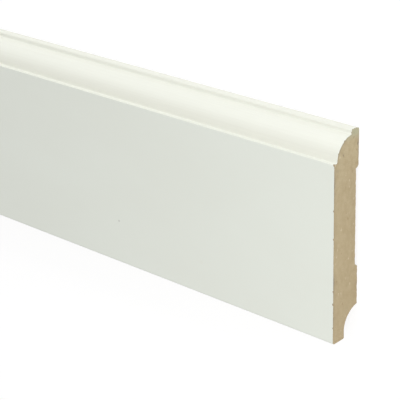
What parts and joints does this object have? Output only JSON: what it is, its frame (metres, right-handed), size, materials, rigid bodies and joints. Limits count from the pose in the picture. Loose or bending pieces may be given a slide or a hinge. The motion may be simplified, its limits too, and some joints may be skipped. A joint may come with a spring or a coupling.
{
  "type": "skirting board length",
  "caption": "Straight white-coated fibreboard skirting with an ovolo and ledge along its top edge, a relieved back and a cable cove behind the toe.",
  "frame": {"origin": "centre of the footprint, on the plane of the back pads that the board lies on", "axes": "+X along the length, +Y towards the moulded top edge, +Z out of the back towards the face"},
  "size_m": [2.4, 0.0899, 0.015],
  "materials": {
    "coated_fibreboard": "satin white coat on the face, the moulding and the top edge; bare tan fibreboard on the back, in the cove and on the sawn ends"
  },
  "bodies": {
    "root": {"skirting_board": "coated_fibreboard"}
  },
  "joints": []
}
